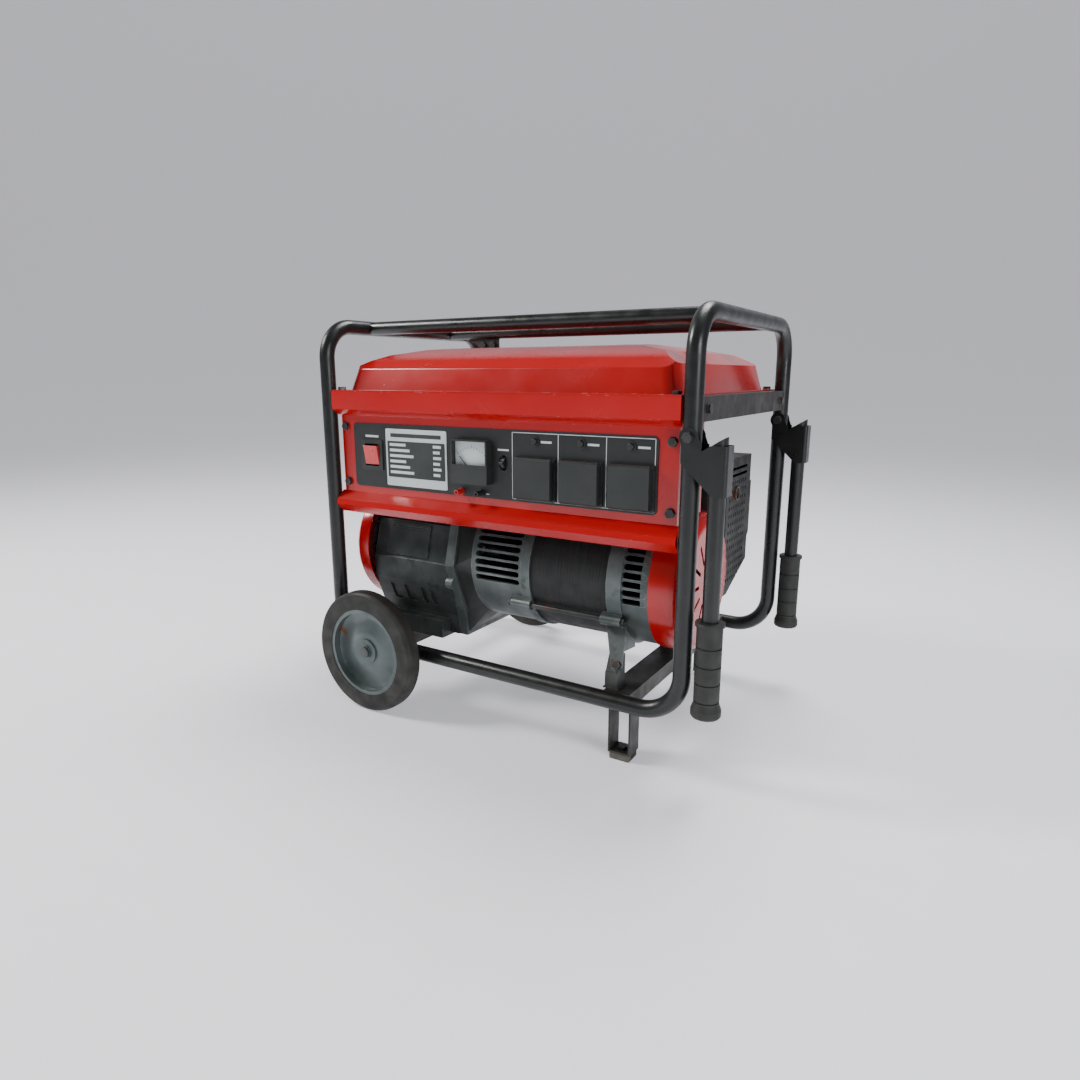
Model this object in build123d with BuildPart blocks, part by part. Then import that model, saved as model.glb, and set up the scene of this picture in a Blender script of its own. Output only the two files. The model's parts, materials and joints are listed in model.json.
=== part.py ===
from build123d import *
import os
from math import cos, radians, sin

os.makedirs("parts", exist_ok=True)

# ---------------------------------------------------------------- driving dimensions, mm
# Frame: two bent tubes, one round each end, joined under the middle of the long sides
tube_r = 14.0            # bent frame tube, outer radius
tube_wall = 2.0
hoop_x = 362.0           # from the frame's middle to an end's tube centre
side_y = 242.7           # from the middle to a long side's tube centre
rail_z = 115.8           # bottom rails, tube centre
top_z = 720.9            # top of the ends, tube centre
bend_low = 66.5          # bends from the rails up into the ends
bend_high = 61.0         # bends over the top of the ends
long_tube_r = 12.6       # the two straight tubes along the top
long_tube_y = 126.3
sheet = 3.0              # pressed steel of beams, rails and brackets

# Cross beams, axle, wheels and feet
beam_top = 128.0
beam_height = 26.0
beam_wide = 46.0
beam_right_x = 250.0
axle_x = -246.7
axle_z = 117.3           # also the tyre's outer radius
axle_r = 7.5
wheel_out = 304.3        # outer face of each tyre, from the middle
tyre_wide = 31.3
bead_r = 80.0            # tyre's seat on the rim
lip_r = 84.0             # rim lip that shows against the tyre
dish_wall = 3.0
foot_y = 204.0
foot_deep = 36.0
pad_high = 12.0

# Tank and the rails that carry it
rail_top = 601.5
rail_high = 36.0
rail_out = 370.0         # outer face of the end rails
flange_thick = 2.5
tank_long = 332.0        # half length at the base of the tank's wall
tank_deep = 226.0        # half depth at the same height
tank_top = 683.0
tank_wall = 1.5
tank_bolt_x = 334.0
tank_bolt_y = 236.0
cap_x = 120.0
cap_y = 60.0
cap_r = 34.0
neck_r = 24.0

# Control panel
face_y = 234.0           # front of the recessed face, from the middle
face_long = 341.0
visor_y = 252.6
box_deep = 100.0
panel_thick = 2.0
panel_long = 618.0
panel_high = 118.0
panel_z = 484.5
lid_wide = 68.0
lid_high = 67.0
lid_deep = 11.7
lid_x = (96.6, 180.8, 267.0)
lid_top = 500.0
lid_pivot_in = 3.2       # hinge line of a lid, in from its top and back faces
pin_r = 1.0
button_x = (94.8, 180.0, 264.9)
button_z = 526.6
button_r = 5.0
switch_x = -263.0
switch_z = 485.5
breaker_x = 33.0
breaker_z = 488.0
meter_x = -28.8
meter_z = 486.5
meter_wide = 75.5
meter_deep = 15.5

# Engine and alternator share one shaft line
shaft_y = -95.0
shaft_z = 294.0
shaft_r = 17.5
case_left = -308.0
case_right = -118.0
cover_right = -99.0      # right face of the engine's side cover
bell_left = -57.0
bell_r = 116.0
bell_wall = 6.0
ring_left = 50.0         # front bell's clamp ring
ring_right = 68.0
flange_left = 216.0      # rear bell's flange ring
flange_right = 242.0
bell_right = 289.0
rod_ring_r = 124.0
rod_r = 4.5
slot_pitch = 7.1         # degrees from one cooling slot to the next
cover_r = 119.0
cover_end = 345.0
bore_r = 44.0
lean = 25.0              # the cylinder leans towards the rear
cylinder_x = -222.0

# Carrying handles
pivot_x = 362.0
pivot_z = 546.0
ear_r = 14.0
handle_x = 402.0
handle_tube_r = 12.6
plate_thick = 2.0
web_out = 419.5
grip_low = 129.0
grip_flare_r = 23.0

# Clearances
slide_gap = 0.05         # running fits, on the radius
plate_gap = 0.8          # handle plates to the frame tube
loose_gap = 0.3          # between parts that pass each other
hex_across = 13.0
hex_head = 5.3
bolt_r = 4.0

# The part's origin is under the middle of its overall box, so the frame's middle sits at mid
mid = -((handle_x + grip_flare_r) - (hoop_x + tube_r)) / 2


# ---------------------------------------------------------------- helpers
def keep(piece, name):
    """Label a finished piece and write it out."""
    piece.part.label = name
    export_step(piece.part, f"parts/{name}.step")


def level(z):
    """Horizontal plane at height z; its x runs from the frame's middle."""
    return Plane(origin=(mid, 0, z))


def front(y):
    """Upright plane facing the front, y in front of the middle; x from the frame's middle."""
    return Plane(origin=(mid, -y, 0), x_dir=(1, 0, 0), z_dir=(0, -1, 0))


def end(x):
    """Upright plane facing the right end, at x from the frame's middle; its x runs to the rear."""
    return Plane(origin=(mid + x, 0, 0), x_dir=(0, 1, 0), z_dir=(1, 0, 0))


def shaft_plane(x):
    """Upright plane facing the right end, centred on the shaft line."""
    return Plane(origin=(mid + x, shaft_y, shaft_z), x_dir=(0, 1, 0), z_dir=(1, 0, 0))


def polar(radius, angle):
    """Point on a circle round the shaft line, angle in degrees from the rear, upwards."""
    return (radius * cos(radians(angle)), radius * sin(radians(angle)))


# ---------------------------------------------------------------- frame
def frame_end(side, name):
    """Half of the frame: front rail, up, over the end, down, rear rail."""
    x = mid + side * hoop_x
    corners = [
        (mid, -side_y, rail_z),
        (x, -side_y, rail_z),
        (x, -side_y, top_z),
        (x, side_y, top_z),
        (x, side_y, rail_z),
        (mid, side_y, rail_z),
    ]
    with BuildPart() as tube:
        with BuildLine() as path:
            FilletPolyline(*corners, radius=[bend_low, bend_high, bend_high, bend_low])
        with BuildSketch(path.line ^ 0):
            Circle(tube_r)
            Circle(tube_r - tube_wall, mode=Mode.SUBTRACT)
        sweep()
        if side < 0:
            with BuildSketch(front(0)):
                with Locations((axle_x, axle_z)):
                    Circle(axle_r + slide_gap)
            extrude(amount=side_y + 2 * tube_r, both=True, mode=Mode.SUBTRACT)
        else:
            with BuildSketch(front(0)):
                with Locations((pivot_x, pivot_z)):
                    Circle(bolt_r + slide_gap)
            extrude(amount=side_y + 2 * tube_r, both=True, mode=Mode.SUBTRACT)
    keep(tube, name)


frame_end(-1, "frame_hoop_left")
frame_end(1, "frame_hoop_right")


def top_tube(y, name):
    """Straight tube along the top, its ends shaped to the frame's ends."""
    with BuildPart() as tube:
        with BuildSketch(end(-hoop_x)):
            with Locations((y, top_z)):
                Circle(long_tube_r)
                Circle(long_tube_r - tube_wall, mode=Mode.SUBTRACT)
        extrude(amount=2 * hoop_x)
        for side in (-1, 1):
            with BuildSketch(Plane(origin=(mid + side * hoop_x, 0, top_z), x_dir=(1, 0, 0), z_dir=(0, 1, 0))):
                Circle(tube_r)
            extrude(amount=side_y, both=True, mode=Mode.SUBTRACT)
    keep(tube, name)


top_tube(-long_tube_y, "top_tube_front")
top_tube(long_tube_y, "top_tube_rear")


def tank_rail(side, name):
    """Angle between two uprights, with tabs at its ends for the tank's bolts."""
    flat_in = rail_out - 25
    with BuildPart() as rail:
        with BuildSketch(end(side * rail_out)):
            with Locations((0, rail_top - rail_high / 2)):
                Rectangle(2 * side_y, rail_high)
            with Locations((-foot_y, rail_top - rail_high / 2), (foot_y, rail_top - rail_high / 2)):
                Circle(bolt_r, mode=Mode.SUBTRACT)
        extrude(amount=-side * sheet)
        with BuildSketch(level(rail_top)):
            with Locations((side * (flat_in + rail_out) / 2, 0)):
                Rectangle(rail_out - flat_in, 2 * (side_y - tube_r))
            with Locations((side * (flat_in - 10), 0)):
                Rectangle(24, 2 * (tank_bolt_y + 9))
            with Locations((side * tank_bolt_x, -tank_bolt_y), (side * tank_bolt_x, tank_bolt_y)):
                Circle(bolt_r, mode=Mode.SUBTRACT)
        extrude(amount=-sheet)
        with BuildSketch(level(rail_top)):
            with Locations((side * hoop_x, -side_y), (side * hoop_x, side_y)):
                Circle(tube_r)
        extrude(amount=-rail_high, mode=Mode.SUBTRACT)
        with BuildSketch(level(rail_top)):
            with Locations((side * (rail_out + 10), -side_y), (side * (rail_out + 10), side_y)):
                Rectangle(20 + 2 * sheet, 2 * tube_r - 1)
        extrude(amount=-rail_high, mode=Mode.SUBTRACT)
    keep(rail, name)


tank_rail(-1, "tank_rail_left")
tank_rail(1, "tank_rail_right")


def cross_beam(x, name):
    """Channel, open below, between the bottom rails and shaped to their tubes."""
    with BuildPart() as beam:
        with BuildSketch(front(0)):
            with Locations((x, beam_top - beam_height / 2)):
                Rectangle(beam_wide, beam_height)
            with Locations((x, beam_top - sheet - beam_height / 2)):
                Rectangle(beam_wide - 2 * sheet, beam_height, mode=Mode.SUBTRACT)
        extrude(amount=side_y, both=True)
        with BuildSketch(end(x), mode=Mode.PRIVATE) as rounds:
            with Locations((-side_y, rail_z), (side_y, rail_z)):
                Circle(tube_r)
        extrude(rounds.sketch, amount=beam_wide, both=True, mode=Mode.SUBTRACT)
    keep(beam, name)


cross_beam(axle_x, "cross_beam_left")
cross_beam(beam_right_x, "cross_beam_right")

# Plate under the rear top tube, with two bolts
lift_left = -303.0
lift_right = -224.0
lift_low = 687.0
with BuildPart() as lift_plate:
    with BuildSketch(front(-long_tube_y)):
        with BuildLine():
            Polyline(
                (lift_left, top_z),
                (lift_right, top_z),
                (lift_right, lift_low),
                (lift_left + 30, lift_low),
                (lift_left + 18, lift_low + 12),
                (lift_left, lift_low + 18),
                close=True,
            )
        make_face()
        with Locations((lift_left + 38, lift_low + 9), (lift_right - 14, lift_low + 9)):
            Circle(bolt_r, mode=Mode.SUBTRACT)
    extrude(amount=sheet / 2, both=True)
    with BuildSketch(end(0)):
        with Locations((long_tube_y, top_z)):
            Circle(long_tube_r)
    extrude(amount=hoop_x, both=True, mode=Mode.SUBTRACT)
keep(lift_plate, "lift_plate")

# ---------------------------------------------------------------- axle, wheels and feet
cap_thick = 4.0
with BuildPart() as axle:
    with BuildSketch(front(-(wheel_out - 1))):
        with Locations((axle_x, axle_z)):
            Circle(axle_r)
    extrude(amount=2 * (wheel_out - 1))
    for side in (-1, 1):
        with BuildSketch(front(side * (wheel_out - 1))):
            with Locations((axle_x, axle_z)):
                Circle(axle_r + 3)
        extrude(amount=-side * cap_thick)
    fillet(axle.edges().filter_by(GeomType.CIRCLE).group_by(Axis.Y)[0], radius=1.2)
    fillet(axle.edges().filter_by(GeomType.CIRCLE).group_by(Axis.Y)[-1], radius=1.2)
keep(axle, "axle")


def wheel_plane(side):
    """Plane through the axle line; x is the radius, y is outwards from the tyre's middle."""
    middle = side * (wheel_out - tyre_wide / 2)
    return Plane(origin=(mid + axle_x, middle, axle_z), x_dir=(1, 0, 0), z_dir=(0, 0, side))


def wheel(side, where):
    """Solid tyre on a dished steel rim, turning on the axle."""
    half = tyre_wide / 2
    seat = 12.0
    lip_face = half - 1.2
    hub_out = wheel_out - 1 - cap_thick - loose_gap - (wheel_out - half)
    hub_in = -(wheel_out - half - side_y - tube_r - 1.0)
    spin_axis = Axis((mid + axle_x, 0, axle_z), (0, 1, 0))
    with BuildPart() as tyre:
        with BuildSketch(wheel_plane(side)) as section:
            with BuildLine():
                Polyline(
                    (bead_r, -seat),
                    (lip_r, -seat),
                    (lip_r, -half),
                    (axle_z, -half),
                    (axle_z, half),
                    (lip_r, half),
                    (lip_r, seat),
                    (bead_r, seat),
                    close=True,
                )
            make_face()
            fillet(section.vertices().group_by(Axis.X)[-1], radius=9)
        revolve(axis=spin_axis)
    keep(tyre, f"tyre_{where}")
    with BuildPart() as rim:
        with BuildSketch(wheel_plane(side)):
            with BuildLine():
                Polyline((axle_r + slide_gap, hub_in), (15, hub_in), (15, -3))
                Spline((15, -3), (40, 0.5), (62, -5.0), (bead_r - dish_wall, -4), tangents=((1, 0.1), (1, 0.3)))
                Polyline(
                    (bead_r - dish_wall, -4),
                    (bead_r - dish_wall, -lip_face),
                    (lip_r, -lip_face),
                    (lip_r, -seat),
                    (bead_r, -seat),
                    (bead_r, seat),
                    (lip_r, seat),
                    (lip_r, lip_face),
                    (bead_r - dish_wall, lip_face),
                    (bead_r - dish_wall, 0),
                )
                Spline((bead_r - dish_wall, 0), (62, -1.5), (40, 3.8), (24, 5.5), tangents=((-1, -0.5), (-1, 0)))
                Polyline(
                    (24, 5.5),
                    (24, hub_out - 2),
                    (13, hub_out - 2),
                    (13, hub_out),
                    (axle_r + slide_gap, hub_out),
                    (axle_r + slide_gap, hub_in),
                )
            make_face()
        revolve(axis=spin_axis)
    keep(rim, f"rim_{where}")


wheel(-1, "front")
wheel(1, "back")

with BuildPart() as foot_brackets:
    half_out = beam_wide / 2 - sheet
    for side in (-1, 1):
        with BuildSketch(front(side * foot_y)):
            with Locations((beam_right_x, (pad_high + beam_top - sheet) / 2)):
                Rectangle(2 * half_out, beam_top - sheet - pad_high)
            with Locations((beam_right_x, (pad_high + beam_top - sheet) / 2 + sheet)):
                Rectangle(2 * (half_out - sheet), beam_top - sheet - pad_high, mode=Mode.SUBTRACT)
        extrude(amount=foot_deep / 2, both=True)
    with BuildSketch(level(0)):
        with Locations((beam_right_x, -foot_y), (beam_right_x, foot_y)):
            Circle(bolt_r)
    extrude(amount=pad_high + 2 * sheet, mode=Mode.SUBTRACT)
keep(foot_brackets, "foot_brackets")

with BuildPart() as foot_pads:
    with BuildSketch(level(0)):
        with Locations((beam_right_x, -foot_y), (beam_right_x, foot_y)):
            RectangleRounded(2 * half_out - 3, foot_deep - 2, 3)
    extrude(amount=pad_high)
    fillet(foot_pads.faces().sort_by(Axis.Z)[0].edges(), radius=1)
    bolt_reach = 16.0
    with BuildSketch(level(pad_high)):
        with Locations((beam_right_x, -foot_y), (beam_right_x, foot_y)):
            Circle(bolt_r)
    extrude(amount=-(bolt_reach - sheet), mode=Mode.SUBTRACT)
keep(foot_pads, "foot_pads")


# ---------------------------------------------------------------- carrying handles
def handle(side, where):
    """Folded bracket round an upright, with its tube; a grip is pushed on the tube."""
    centre_y = side * side_y
    half_out = tube_r + plate_gap + plate_thick
    bottom = 465.0
    plate_top = 535.5
    tube_top = 548.0
    grip_collar = 278.0
    pivot_y = Plane(origin=(mid, centre_y, 0), x_dir=(1, 0, 0), z_dir=(0, -1, 0))
    with BuildPart() as arm:
        with BuildSketch(Plane(origin=(mid, centre_y, bottom))) as channel:
            with Locations(((pivot_x - ear_r + web_out) / 2, 0)):
                Rectangle(web_out - pivot_x + ear_r, 2 * half_out)
            fillet(channel.vertices().group_by(Axis.X)[-1], radius=6)
            with Locations(((pivot_x - ear_r + web_out) / 2 - plate_thick, 0)):
                Rectangle(web_out - pivot_x + ear_r, 2 * (half_out - plate_thick), mode=Mode.SUBTRACT)
        extrude(amount=pivot_z + ear_r - bottom)
        with BuildSketch(pivot_y, mode=Mode.PRIVATE) as outline:
            with BuildLine():
                Polyline(
                    (352, 509),
                    (352, 534),
                    (pivot_x - ear_r, pivot_z),
                    (pivot_x + ear_r, pivot_z),
                    (pivot_x + ear_r + 4, plate_top),
                    (web_out, plate_top),
                    (web_out, bottom),
                    (399, bottom),
                    close=True,
                )
            make_face()
            with Locations((pivot_x, pivot_z)):
                Circle(ear_r)
                Circle(bolt_r + slide_gap, mode=Mode.SUBTRACT)
        extrude(outline.sketch, amount=half_out, both=True, mode=Mode.INTERSECT)
        with BuildSketch(Plane(origin=(mid + handle_x, centre_y, grip_low + 6))):
            Circle(handle_tube_r)
        extrude(amount=tube_top - grip_low - 6)
        with BuildSketch(pivot_y, mode=Mode.PRIVATE) as slant:
            with BuildLine():
                Polyline(
                    (handle_x - 20, tube_top - 14 - 6.5),
                    (handle_x - 20, tube_top + 30),
                    (handle_x + 20, tube_top + 30),
                    (handle_x + 20, tube_top + 3.3),
                    (handle_x + handle_tube_r, tube_top),
                    close=True,
                )
            make_face()
        extrude(slant.sketch, amount=half_out, both=True, mode=Mode.SUBTRACT)
        with BuildSketch(Plane(origin=(mid + handle_x, centre_y, grip_low + 5))):
            Circle(handle_tube_r - tube_wall)
        extrude(amount=tube_top, mode=Mode.SUBTRACT)
        with BuildSketch(Plane(origin=(mid, centre_y, bottom + 5))):
            with Locations((handle_x + handle_tube_r + 1.5, 0)):
                Rectangle(5, 6)
        extrude(amount=60)
    keep(arm, f"handle_{where}")

    spin_axis = Axis((mid + handle_x, centre_y, 0), (0, 0, 1))
    body_r = 19.4
    groove = 1.6
    hole_r = handle_tube_r
    with BuildPart() as grip:
        with BuildSketch(Plane(origin=(mid + handle_x, centre_y, 0), x_dir=(1, 0, 0), z_dir=(0, -1, 0))) as half:
            with BuildLine():
                Polyline(
                    (0, grip_low),
                    (grip_flare_r - 2, grip_low),
                    (grip_flare_r, grip_low + 3),
                    (grip_flare_r, grip_low + 12),
                    (body_r, grip_low + 22),
                    (body_r, grip_collar - 7),
                    (22, grip_collar - 6),
                    (22, grip_collar - 1),
                    (21, grip_collar),
                    (hole_r, grip_collar),
                    (hole_r, grip_low + 6),
                    (0, grip_low + 6),
                    close=True,
                )
            make_face()
            with Locations(*[(body_r, z) for z in (155, 183.5, 211, 240)]):
                Rectangle(2 * groove, 2.4, mode=Mode.SUBTRACT)
        revolve(axis=spin_axis)
    keep(grip, f"grip_{where}")


handle(-1, "front")
handle(1, "back")

with BuildPart() as handle_pivots:
    pin_half = tube_r + plate_gap + plate_thick + loose_gap
    for side in (-1, 1):
        centre_y = side * side_y
        with BuildSketch(front(-centre_y - pin_half)):
            with Locations((pivot_x, pivot_z)):
                Circle(bolt_r)
        extrude(amount=2 * pin_half)
        for facing in (-1, 1):
            with BuildSketch(front(-centre_y + facing * pin_half)):
                with Locations((pivot_x, pivot_z)):
                    Circle(8)
            extrude(amount=facing * 1.5)
            with BuildSketch(front(-centre_y + facing * (pin_half + 1.5))):
                with Locations((pivot_x, pivot_z)):
                    RegularPolygon(hex_across / 2, 6, major_radius=False)
            extrude(amount=facing * 4.5)
keep(handle_pivots, "handle_pivots")


# ---------------------------------------------------------------- fuel tank
def tank_shape(inset):
    """The tank's body above its flange: a cross-section and a side view, cut to each other."""
    floor = rail_top + flange_thick + inset
    top = tank_top - inset
    across = [
        (-(tank_deep - inset), floor),
        (-(tank_deep - 11 - inset), 642),
        (-(tank_deep - 31 - inset), 658 - inset),
        (-140, tank_top - 6 - inset),
    ]
    with BuildPart() as body:
        with BuildSketch(end(0)) as section:
            with BuildLine():
                Polyline(*across)
                ThreePointArc(across[-1], (0, top), (140, tank_top - 6 - inset))
                Polyline(*[(-y, z) for y, z in reversed(across)])
                Line((tank_deep - inset, floor), (-(tank_deep - inset), floor))
            make_face()
        extrude(amount=hoop_x, both=True)
        with BuildSketch(front(0), mode=Mode.PRIVATE) as side_view:
            with BuildLine():
                Polyline(
                    (-(tank_long - inset), floor),
                    (-(tank_long - 10 - inset), 645 - inset),
                    (-270, 668 - inset),
                    (-205, tank_top - 6 - inset),
                    (-150, tank_top + 4),
                    (180, tank_top + 4),
                    (235, tank_top - 6 - inset),
                    (285, 668 - inset),
                    (tank_long - 10 - inset, 648 - inset),
                    (tank_long - inset, floor),
                    close=True,
                )
            make_face()
        extrude(side_view.sketch, amount=tank_deep + 10, both=True, mode=Mode.INTERSECT)
    return body.part


outer_form = tank_shape(0)
inner_form = tank_shape(tank_wall)
dish_floor = tank_top - 16
corner_r = 24.0
outlet_x = -120.0
outlet_y = -40.0
outlet_low = 572.0


def upright(edges):
    """Edges that run mostly upwards, as the tank's corners do."""
    return edges.filter_by(lambda e: abs(e.tangent_at(0.5).Z) > 0.8)


with BuildPart() as tank_space:
    add(inner_form)
    fillet(upright(tank_space.edges()), radius=corner_r - tank_wall)
    with BuildSketch(level(dish_floor - tank_wall)):
        with Locations((cap_x, cap_y)):
            Circle(cap_r + 12 + tank_wall)
    extrude(amount=40, mode=Mode.SUBTRACT)

with BuildPart() as fuel_tank:
    add(outer_form)
    fillet(upright(fuel_tank.edges()), radius=corner_r)
    with BuildSketch(level(dish_floor)):
        with Locations((cap_x, cap_y)):
            Circle(cap_r + 12)
    extrude(amount=30, mode=Mode.SUBTRACT)
    ridges = fuel_tank.edges().filter_by(GeomType.LINE).filter_by(Axis.X)
    fillet(ridges.filter_by(lambda e: e.center().Z > rail_top + 20), radius=4)
    add(tank_space.part, mode=Mode.SUBTRACT)
    with BuildSketch(level(rail_top)):
        RectangleRounded(2 * (hoop_x - tube_r - 1), 2 * (visor_y - 1), 4)
        with GridLocations(2 * tank_bolt_x, 2 * tank_bolt_y, 2, 2):
            Circle(bolt_r, mode=Mode.SUBTRACT)
    extrude(amount=flange_thick)
    with BuildSketch(level(dish_floor - tank_wall)):
        with Locations((cap_x, cap_y)):
            Circle(neck_r)
    extrude(amount=tank_wall + 11)
    with BuildSketch(level(outlet_low)):
        with Locations((outlet_x, outlet_y)):
            Circle(9)
    extrude(amount=rail_top - outlet_low)
    with BuildSketch(level(dish_floor - 2 * tank_wall)):
        with Locations((cap_x, cap_y)):
            Circle(neck_r - 2)
    extrude(amount=30, mode=Mode.SUBTRACT)
keep(fuel_tank, "fuel_tank")

with BuildPart() as fuel_cap:
    with BuildSketch(level(dish_floor + 1)):
        with Locations((cap_x, cap_y)):
            Circle(cap_r)
    extrude(amount=18)
    with BuildSketch(level(dish_floor + 19)):
        with Locations((cap_x, cap_y)):
            with PolarLocations(cap_r + 3, 12):
                Circle(6)
    extrude(amount=-18, mode=Mode.SUBTRACT)
    fillet(fuel_cap.faces().sort_by(Axis.Z)[-1].edges(), radius=1.5)
    with BuildSketch(level(dish_floor + 1)):
        with Locations((cap_x, cap_y)):
            Circle(neck_r + slide_gap)
    extrude(amount=10 + loose_gap, mode=Mode.SUBTRACT)
keep(fuel_cap, "fuel_cap")

lever_z = outlet_low + 9
with BuildPart() as fuel_tap_lever:
    with BuildSketch(front(-outlet_y + 9 + loose_gap)):
        with Locations((outlet_x, lever_z)):
            Circle(7)
        with Locations((outlet_x, lever_z - 12)):
            Rectangle(7, 24)
    extrude(amount=5)
keep(fuel_tap_lever, "fuel_tap_lever")

# ---------------------------------------------------------------- control panel
skin = 2.0
box_back = face_y - box_deep
flare_low = 373.0
flare_high = 413.0
visor_low = 557.5
lip_back = 225.0
box_low = 419.0          # the box passes over the engine and the alternator
box_outline = [
    (-visor_y, rail_top),
    (-visor_y, 568.5),
    (-face_y - 1.5, visor_low),
    (-face_y, visor_low - 1),
    (-face_y, flare_high),
    (-252, 398),
    (-254, 388),
    (-240, flare_low),
    (-236, flare_low - 2),
    (-lip_back, flare_low - 2),
    (-lip_back, box_low),
    (-box_back, box_low),
    (-box_back, rail_top),
]
panel_bolts = [(x, z) for x in (-330, 330) for z in (431, 536)]
with BuildPart() as panel_housing:
    with BuildSketch(end(0)) as outline:
        with BuildLine():
            Polyline(*box_outline, close=True)
        make_face()
    extrude(amount=face_long, both=True)
    with BuildSketch(end(0)) as ends:
        with BuildLine():
            Polyline(*box_outline, close=True)
        make_face()
        with Locations((0, (visor_low + flare_high) / 2)):
            Rectangle(2 * hoop_x, visor_low - flare_high, mode=Mode.SUBTRACT)
        with Locations((-face_y + 2 + hoop_x, 480)):
            Rectangle(2 * hoop_x, 400, mode=Mode.SUBTRACT)
    extrude(amount=hoop_x - tube_r - 1, both=True)
    with BuildSketch(end(0), mode=Mode.PRIVATE) as inside:
        with BuildLine():
            Polyline(*box_outline, close=True)
        make_face()
        offset(amount=-skin, kind=Kind.INTERSECTION)
        with Locations((-box_back, (box_low + rail_top) / 2)):
            Rectangle(4 * skin, rail_top - box_low - 2 * skin)
        with Locations(((-box_back - visor_y + skin) / 2, rail_top)):
            Rectangle(visor_y - skin - box_back, 2 * (sheet + skin))
    extrude(inside.sketch, amount=face_long - skin, both=True, mode=Mode.SUBTRACT)
    with BuildSketch(level(rail_top - sheet)):
        with Locations((0, (-box_back - visor_y + skin) / 2)):
            Rectangle(2 * hoop_x, visor_y - skin - box_back)
    extrude(amount=2 * sheet, mode=Mode.SUBTRACT)
    with BuildSketch(front(face_y + 1)):
        with Locations((0, panel_z)):
            Rectangle(panel_long - 24, panel_high - 7)
        with Locations(*panel_bolts):
            Circle(bolt_r)
    extrude(amount=-10, mode=Mode.SUBTRACT)
keep(panel_housing, "panel_housing")

socket_mid = lid_top - lid_high / 2
post_x = (-55.5, -13.6)
post_z = 433.0
post_r = 4.8
rocker_wide = 33.4
rocker_high = 35.0
with BuildPart() as panel_plate:
    with BuildSketch(front(face_y)):
        with Locations((0, panel_z)):
            RectangleRounded(panel_long, panel_high, 8)
        with Locations(*[(x, socket_mid) for x in lid_x]):
            Rectangle(50, 50, mode=Mode.SUBTRACT)
        with Locations(*[(x, button_z) for x in button_x]):
            Circle(button_r + slide_gap, mode=Mode.SUBTRACT)
        with Locations((switch_x, switch_z)):
            Rectangle(46, 50, mode=Mode.SUBTRACT)
        with Locations((breaker_x, breaker_z)):
            SlotCenterToCenter(10, 16, rotation=90, mode=Mode.SUBTRACT)
        with Locations((meter_x, meter_z)):
            Circle(28, mode=Mode.SUBTRACT)
        with Locations(*[(x, post_z) for x in post_x]):
            Circle(3, mode=Mode.SUBTRACT)
    extrude(amount=panel_thick)
    with BuildSketch(front(face_y + panel_thick)):
        with Locations(*[(x, button_z) for x in button_x]):
            Circle(8.5)
            Circle(button_r + 0.6, mode=Mode.SUBTRACT)
    extrude(amount=1.5)
keep(panel_plate, "panel_plate")
plate_y = face_y + panel_thick

# Meter: a case with a window in its upper half and a pointer inside
meter_front = plate_y + meter_deep
needle_pivot_z = 472.0
window_low = 482.0
meter_high = 75.0
with BuildPart() as voltmeter:
    with BuildSketch(front(plate_y)):
        with Locations((meter_x, meter_z)):
            RectangleRounded(meter_wide, meter_high, 3)
    extrude(amount=meter_deep)
    with BuildSketch(front(plate_y)):
        with Locations((meter_x, meter_z)):
            Circle(27.5)
    extrude(amount=-26)
    with BuildSketch(front(meter_front - 2)):
        with Locations((meter_x, (window_low - 18 + meter_z + 35) / 2)):
            Rectangle(meter_wide - 6, meter_z + 35 - window_low + 18)
    extrude(amount=-8, mode=Mode.SUBTRACT)
    with BuildSketch(front(meter_front)):
        with Locations((meter_x, (window_low + meter_z + 35) / 2)):
            Rectangle(meter_wide - 6, meter_z + 35 - window_low)
    extrude(amount=-3, mode=Mode.SUBTRACT)
    with BuildSketch(front(meter_front - 10)):
        with Locations((meter_x, needle_pivot_z)):
            Circle(0.8)
    extrude(amount=6)
keep(voltmeter, "voltmeter")

with BuildPart() as voltmeter_needle:
    needle_plane = Plane(
        origin=(mid + meter_x, -(meter_front - 7), needle_pivot_z), x_dir=(1, 0, 1), z_dir=(0, -1, 0)
    )
    with BuildSketch(needle_plane):
        Circle(3)
        with BuildLine():
            Polyline((-1, -7), (1, -7), (1, 0), (0.5, 33), (-0.5, 33), (-1, 0), close=True)
        make_face()
        Circle(0.8 + slide_gap, mode=Mode.SUBTRACT)
    extrude(amount=1.2)
keep(voltmeter_needle, "voltmeter_needle")

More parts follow.
